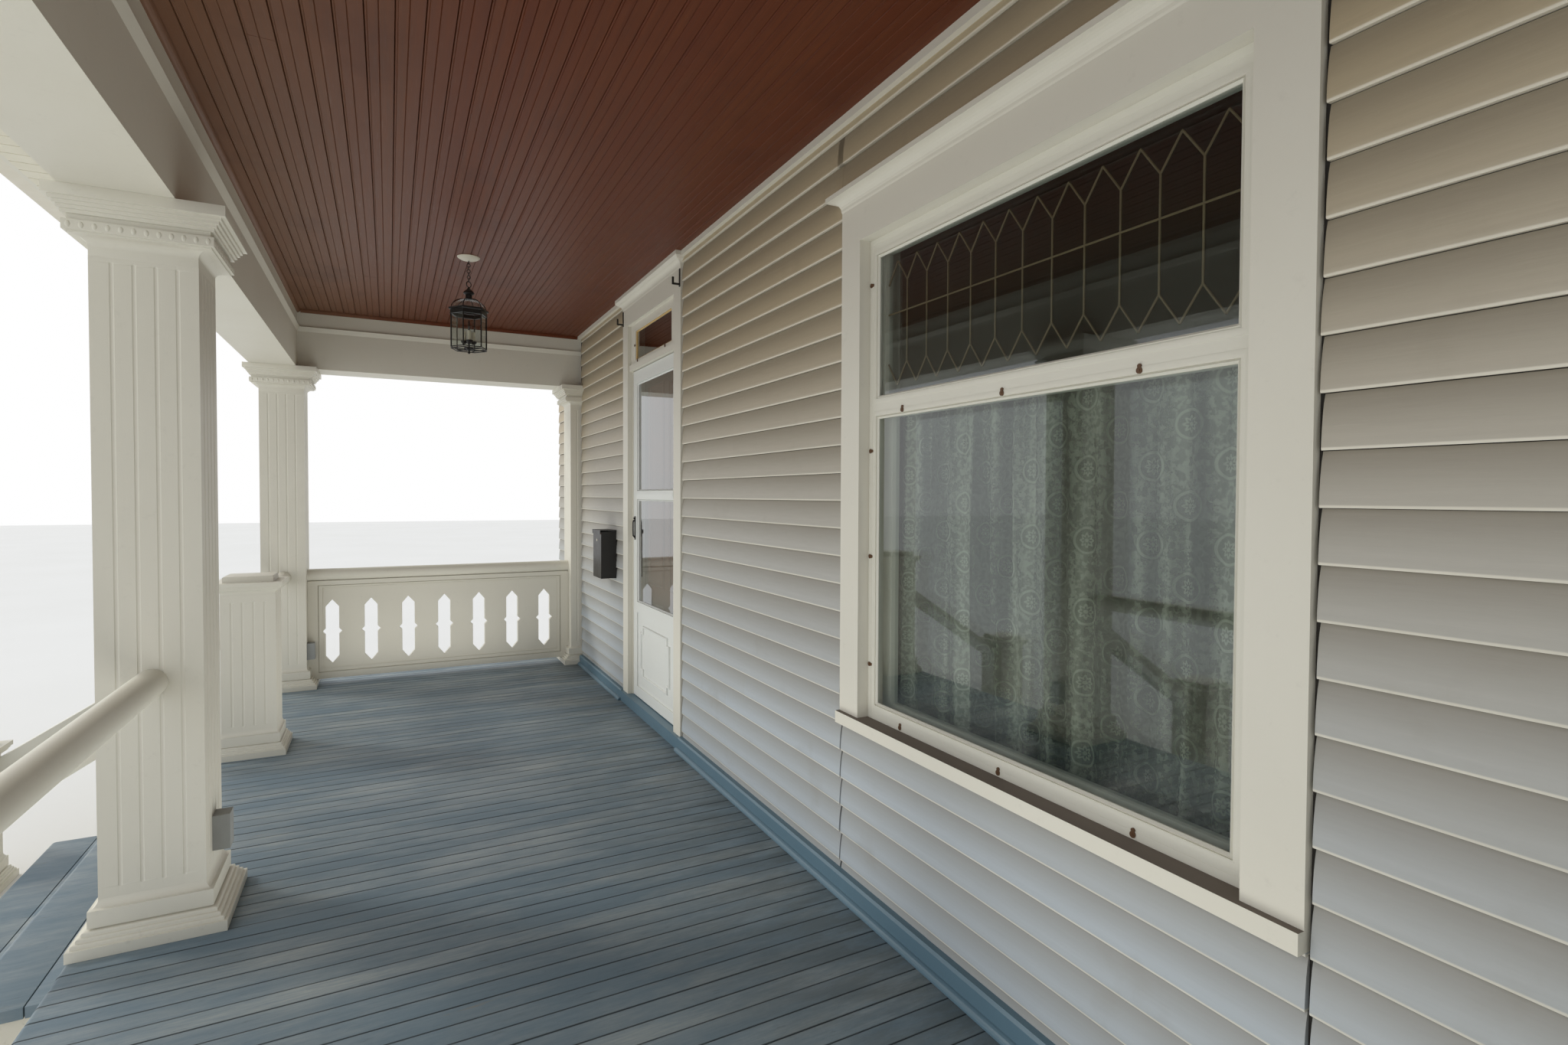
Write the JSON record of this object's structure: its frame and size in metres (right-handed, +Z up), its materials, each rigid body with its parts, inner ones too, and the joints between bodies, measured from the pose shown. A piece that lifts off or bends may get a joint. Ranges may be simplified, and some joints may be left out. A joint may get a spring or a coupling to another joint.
{
  "type": "front porch",
  "caption": "Raised timber front porch with fluted box columns, a short stair, cut-out end panels, a hip roof, and the house wall with its storm door and window.",
  "frame": {"origin": "on the ground, under the centre of the middle front column, at the foot of its pier", "axes": "+X along the porch front with the stair on the -X side, -Y to the street, +Y to the house, +Z up"},
  "size_m": [8.76, 3.702, 4.3],
  "materials": {
    "trim_paint": "cream house paint, satin, weathered",
    "siding": "beige vinyl siding, matt",
    "masonry": "painted masonry",
    "slate_paint": "slate blue-grey floor paint, satin",
    "floor_paint": "pale grey floor paint, worn",
    "stained_wood": "dark reddish brown stain, semi-gloss",
    "bare_wood": "bare roof boards",
    "shingle": "dark grey asphalt shingles",
    "glass": "clear window glass",
    "lantern_glass": "clear lantern glass",
    "black_metal": "black paint, satin",
    "candle_sleeve": "ivory sleeve",
    "lace": "off-white lace",
    "dark_board": "dark unlit room",
    "outlet_grey": "grey outdoor outlet box",
    "trim_metal": "cream enamel",
    "soffit_vinyl": "cream ribbed vinyl",
    "storm_white": "off-white enamel"
  },
  "bodies": {
    "porch": {"foundation": "masonry", "wall_far": "siding", "wall_over_door": "siding", "wall_mid": "siding", "wall_window_bay": "siding", "wall_near": "siding", "base_board": "slate_paint", "wall_trim": "trim_paint", "deck": "floor_paint", "deck_frame": "trim_paint", "deck_piers": "masonry", "skirt": "trim_paint", "stair_stringers": "trim_paint", "stair_treads": "floor_paint", "stair_risers": "trim_paint", "column_bases": "trim_paint", "column_shafts": "trim_paint", "column_capitals": "trim_paint", "wall_pilasters": "trim_paint", "stair_newels": "trim_paint", "newel_caps": "trim_paint", "round_rails": "trim_paint", "end_panels": "trim_paint", "stair_rails": "trim_paint", "front_beam": "trim_paint", "end_beams": "trim_paint", "ceiling": "stained_wood", "ceiling_moulding": "stained_wood", "soffit": "soffit_vinyl", "fascia": "trim_paint", "gutter": "trim_metal", "roof_deck": "bare_wood", "roof_covering": "shingle", "door_casing": "trim_paint", "door_frame": "trim_paint", "entry_door": "stained_wood", "window_casing": "trim_paint", "storm_window": "storm_white", "window_glass": "glass", "window_sashes": "trim_paint", "curtain_rod": "trim_metal", "lace_curtain": "lace", "dark_room": "dark_board", "mailbox": "black_metal", "door_hooks": "black_metal", "outlet_boxes": "outlet_grey", "lantern_frame": "black_metal", "lantern_glass": "lantern_glass", "lantern_lamps": "candle_sleeve"},
    "storm_door": {"storm_door": "storm_white", "storm_glass": "glass", "kick_panel": "storm_white", "door_handle": "black_metal", "leaf_hinges": "trim_metal"},
    "mailbox_lid": {"mailbox_lid": "black_metal"}
  },
  "joints": [
    {"name": "storm_door_hinge", "type": "hinge", "parent": "porch", "child": "storm_door", "pos_m": [-0.977, 2.156, 1.6], "axis": [0, 0, 1], "range_deg": [0, 90]},
    {"name": "mailbox_lid_hinge", "type": "hinge", "parent": "porch", "child": "mailbox_lid", "pos_m": [-2.363, 2.127, 1.727], "axis": [-1, 0, 0], "range_deg": [0, 80]}
  ]
}
